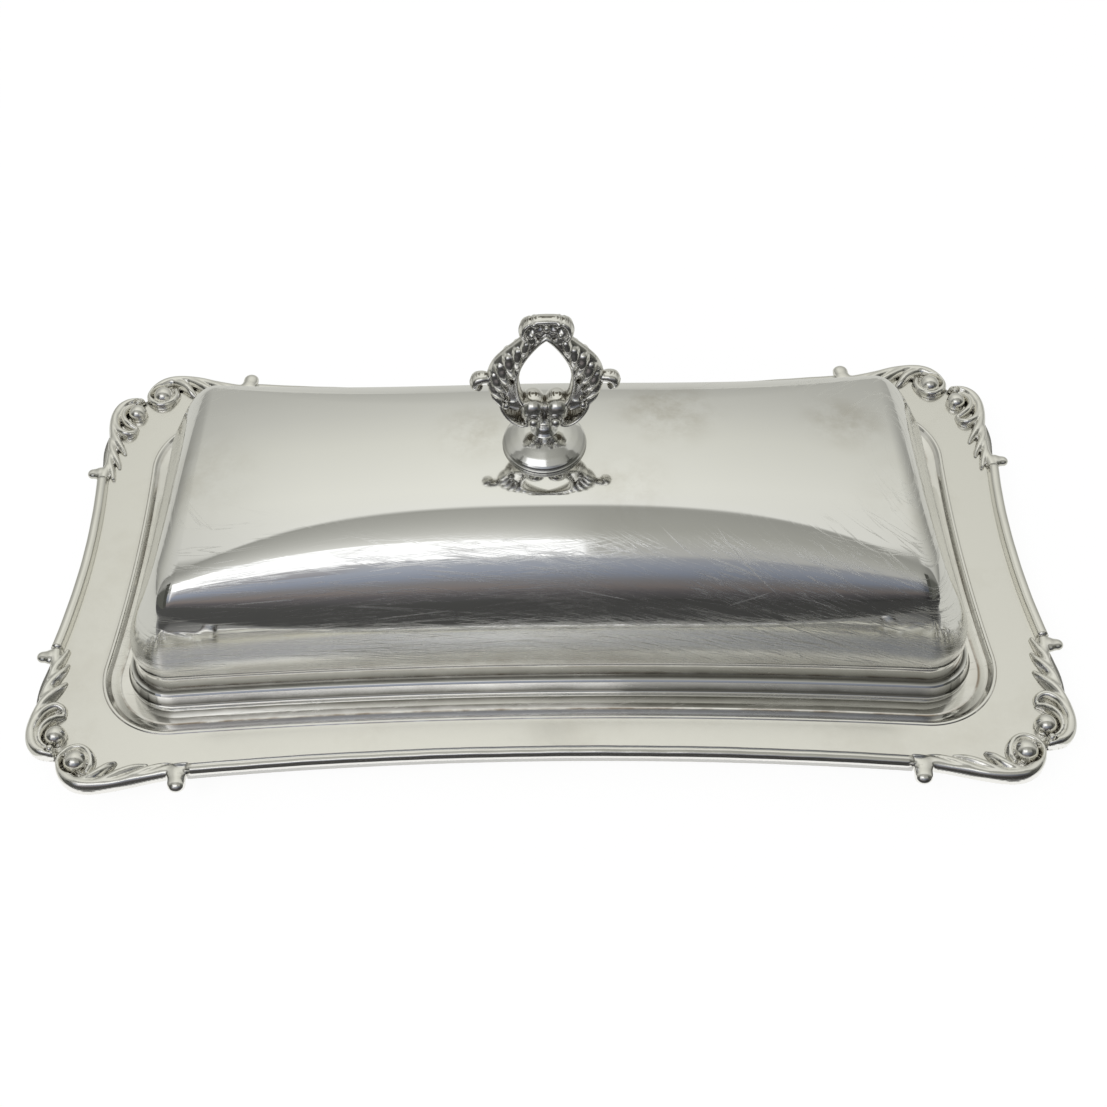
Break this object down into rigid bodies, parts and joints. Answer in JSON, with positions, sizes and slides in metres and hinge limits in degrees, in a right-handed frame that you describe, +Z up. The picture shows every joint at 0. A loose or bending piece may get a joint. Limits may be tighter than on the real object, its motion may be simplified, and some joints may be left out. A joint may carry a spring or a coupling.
{
  "type": "covered butter dish",
  "caption": "Long footed silver-plate butter dish: a tray with cast scroll corners and a glass liner, under an arched lift-off cover with an openwork finial.",
  "frame": {"origin": "on the table under the middle of the dish", "axes": "+X along the length of the dish, +Y across it towards the back, +Z up"},
  "size_m": [0.2416, 0.1322, 0.086],
  "materials": {
    "tray_silver": "worn polished silver plate, satin on the border",
    "cover_silver": "polished silver plate with fine scratches",
    "cast_silver": "cast silver plate with dark recesses",
    "clear_glass": "pressed clear glass",
    "brass_fixings": "plain brass"
  },
  "bodies": {
    "tray": {"tray_pan": "tray_silver", "corner_scroll_front_left": "cast_silver", "corner_scroll_front_right": "cast_silver", "corner_scroll_back_left": "cast_silver", "corner_scroll_back_right": "cast_silver", "side_moulding_front": "cast_silver", "side_moulding_back": "cast_silver", "end_moulding_left": "cast_silver", "end_moulding_right": "cast_silver"},
    "liner": {"glass_liner": "clear_glass"},
    "cover": {"cover_shell": "cover_silver", "cover_foot_moulding": "cover_silver", "finial_foot": "cast_silver", "finial_casting": "cast_silver", "finial_stud": "brass_fixings", "finial_washer": "brass_fixings", "finial_nut": "brass_fixings"}
  },
  "joints": [
    {"name": "cover_lift", "type": "slide", "parent": "tray", "child": "cover", "axis": [0, 0, 1], "range_m": [0, 0.12]},
    {"name": "liner_lift", "type": "slide", "parent": "tray", "child": "liner", "axis": [0, 0, 1], "range_m": [0, 0.01]}
  ]
}
